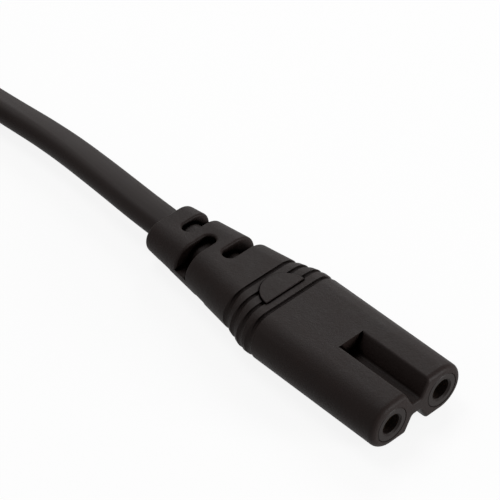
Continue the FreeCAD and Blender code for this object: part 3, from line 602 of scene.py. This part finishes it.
def rounded_loop(half_width, low, high, corner, y):
    """A rounded rectangle in a plane across Y: four quarter circles, joined by its sides."""
    quarter = np.linspace(0.0, pi / 2, 7)
    centres = [(half_width - corner, high - corner), (corner - half_width, high - corner),
               (corner - half_width, low + corner), (half_width - corner, low + corner)]
    turn = np.concatenate([quarter + step * pi / 2 for step in range(4)])
    middle = np.repeat(np.array(centres), len(quarter), axis=0)
    return np.stack([middle[:, 0] + corner * np.cos(turn), np.full(len(turn), y),
                     middle[:, 1] + corner * np.sin(turn)], axis=1)


def band_mesh(name, loop, width, thickness):
    """A flat band round a loop in a plane across Y: a stadium, broad along Y, stood outwards all round."""
    ahead = np.roll(loop, -1, axis=0) - np.roll(loop, 1, axis=0)
    out = unit(np.stack([ahead[:, 2], np.zeros(len(loop)), -ahead[:, 0]], axis=1))
    across = np.broadcast_to((0.0, 1.0, 0.0), loop.shape)
    return carried(name, loop, flat_section(width, thickness, TIE_AROUND), across, out, closed=True)


class ConnectorOperator(bpy.types.Operator):
    """Dress the connector's moulding, its carrier and its contacts, and the cores and strands of both ends"""
    bl_idname = "connector.moulding"
    bl_label = "Connector"

    def execute(self, context):
        finishes = context.scene.connector_finishes
        plastic = moulded_plastic("moulding", finishes.moulding)
        add_piece("connector_moulding", soft_copy("connector_body"), plastic, "moulding", "connector_body")
        carrier = smooth_plastic("carrier", finishes.carrier)
        rims = soft_copy("contact_insert")
        bevel_front_rims(rims, finishes.rim_bevel)
        add_piece("contact_carrier", rims, carrier, "insert", "contact_insert")
        brass = bare_metal("contact_brass", finishes.contact, 0.25)
        copper = bare_metal("copper_strands", finishes.strands, 0.3)
        for side, colour in (("left", finishes.left_core), ("right", finishes.right_core)):
            insulation = smooth_plastic(f"insulation_{side}", colour)
            dress(f"contact_{side}", brass)
            for prefix in ("", "plug_"):
                dress(f"{prefix}conductor_{side}", copper)
                dress(f"{prefix}core_{side}", insulation)
        return {"FINISHED"}


class PlugOperator(bpy.types.Operator):
    """Dress the plug's moulding, bridge, sleeves and pins"""
    bl_idname = "connector.plug"
    bl_label = "Plug"

    def execute(self, context):
        finishes = context.scene.connector_finishes
        plastic = bpy.data.objects["connector_moulding"].data.materials[0]
        add_piece("plug_moulding", soft_copy("plug_body"), plastic, "moulding", "plug_body")
        sleeve = smooth_plastic("sleeve", finishes.carrier)
        plating = bare_metal("plating", finishes.plating, 0.2)
        dress("plug_bridge", smooth_plastic("bridge", finishes.bridge))
        for side in ("left", "right"):
            pin, cover = f"plug_pin_{side}", f"plug_sleeve_{side}"
            add_piece(f"mains_pin_{side}", soft_copy(pin), plating, "pin", pin)
            add_piece(f"pin_sleeve_{side}", soft_copy(cover), sleeve, "sleeve", cover)
        return {"FINISHED"}


class CordOperator(bpy.types.Operator):
    """Lay the flat cord: out of the strain relief, into its hank and on to the plug"""
    bl_idname = "connector.cord"
    bl_label = "Cord"

    def execute(self, context):
        sizes = context.scene.connector_cord
        turns = hank_turns(sizes)
        line = spaced(smooth_line(np.concatenate([LEAD_ROUTE, turns, TAIL_ROUTE])), RING_STEP)
        section = flat_section(sizes.width, sizes.thickness, CORD_AROUND)
        mesh = cord_mesh("flat_cord", line, section, cord_twist(line, turns, sizes))
        jacket = extruded_jacket("jacket", context.scene.connector_finishes.jacket)
        piece = add_piece("flat_cord", mesh, jacket, "cord", "cord_lead", "cord_hank", "cord_tail")
        tie = self.add_tie(context, sizes)
        return {"FINISHED"}

    def add_tie(self, context, sizes):
        """A band round the hank's waist."""
        half = sizes.tie_thickness / 2
        high = sizes.tie_lift + 2 * sizes.layer + half
        loop = rounded_loop(sizes.tie_half + half, half, high, sizes.tie_corner, sizes.hank_y + sizes.run / 2)
        loop[:, 0] += sizes.hank_x
        mesh = band_mesh("cord_tie", loop, sizes.tie_width, sizes.tie_thickness)
        coating = coated_tie("tie_coating", context.scene.connector_finishes.tie)
        return add_piece("cord_tie", mesh, coating, "tie", "hank_tie")


class StageOperator(bpy.types.Operator):
    """Set up the floor, the soft light and the camera"""
    bl_idname = "connector.stage"
    bl_label = "Stage"

    def execute(self, context):
        scene = context.scene
        scene.view_settings.view_transform = "Standard"
        self.add_floor(scene)
        self.add_world(scene)
        for name, (place, size, power) in LAMPS.items():
            self.add_lamp(scene, name, place, size, power)
        self.add_camera(scene)
        return {"FINISHED"}

    def add_floor(self, scene):
        """One square on the ground."""
        mesh = bpy.data.meshes.new("floor")
        corners = [(x * FLOOR_HALF, y * FLOOR_HALF, 0.0) for x, y in ((-1, -1), (1, -1), (1, 1), (-1, 1))]
        mesh.from_pydata(corners, [], [(0, 1, 2, 3)])
        mesh.materials.append(pale_floor(scene.connector_finishes.floor))
        floor = bpy.data.objects.new("floor", mesh)
        scene.collection.objects.link(floor)

    def add_world(self, scene):
        """Even white light from all round, which is plain white where it is seen."""
        scene.world = bpy.data.worlds.new("studio")
        sky = Nodes(scene.world, "ShaderNodeOutputWorld")
        light, shown = (sky.node("ShaderNodeBackground", None, {"Color": WHITE, "Strength": strength})
                        for strength in (SKY_LIGHT, 1.0))
        sky.end_seen(light, shown)

    def add_lamp(self, scene, name, place, size, power):
        """A square soft lamp that looks at the connector."""
        lamp = bpy.data.lights.new(name, "AREA")
        lamp.shape = "SQUARE"
        lamp.size = size
        lamp.energy = power
        holder = bpy.data.objects.new(name, lamp)
        holder.location = place
        holder.rotation_euler = (-Vector(place)).to_track_quat("-Z", "Y").to_euler()
        scene.collection.objects.link(holder)

    def add_camera(self, scene):
        """The camera: its turn from azimuth and elevation, its place from where the mating face shows."""
        view = scene.connector_camera
        right = Vector((cos(view.azimuth), sin(view.azimuth), 0.0))
        back = Vector((sin(view.azimuth) * cos(view.elevation), -cos(view.azimuth) * cos(view.elevation),
                       sin(view.elevation)))
        up = back.cross(right)
        nose_low, nose_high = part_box("contact_insert")
        face = Vector((0.0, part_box("connector_body")[0].y, (nose_low.z + nose_high.z) / 2))
        eye = face + back * view.distance - right * (view.across / view.scale) + up * (view.down / view.scale)
        camera = bpy.data.cameras.new("camera")
        camera.sensor_width = view.sensor
        camera.lens = view.scale * view.distance / view.picture * view.sensor
        camera.clip_start = 0.01
        holder = bpy.data.objects.new("camera", camera)
        holder.matrix_world = Matrix((right, up, back)).transposed().to_4x4()
        holder.location = eye
        scene.collection.objects.link(holder)
        scene.camera = holder


class ConnectorPanel(bpy.types.Panel):
    """Lists the pieces, and their sizes and colours"""
    bl_label = "Figure eight connector"
    bl_idname = "VIEW3D_PT_connector"
    bl_space_type = "VIEW_3D"
    bl_region_type = "UI"
    bl_category = "Connector"

    def draw(self, context):
        for operator in OPERATORS:
            self.layout.operator(operator.bl_idname)
        for name, group in GROUPS.items():
            for value in group.__annotations__:
                self.layout.prop(getattr(context.scene, name), value)


OPERATORS = (ConnectorOperator, PlugOperator, CordOperator, StageOperator)
GROUPS = {"connector_cord": CordSizes, "connector_finishes": Finishes, "connector_camera": PhotoCamera}


def register():
    for item in (*GROUPS.values(), *OPERATORS, ConnectorPanel):
        bpy.utils.register_class(item)
    for name, group in GROUPS.items():
        setattr(bpy.types.Scene, name, PointerProperty(type=group))


def unregister():
    for name in GROUPS:
        delattr(bpy.types.Scene, name)
    for item in reversed((*GROUPS.values(), *OPERATORS, ConnectorPanel)):
        bpy.utils.unregister_class(item)


def main():
    register()
    bpy.ops.connector.moulding()
    bpy.ops.connector.plug()
    bpy.ops.connector.cord()
    bpy.ops.connector.stage()


if __name__ == "__main__":
    main()
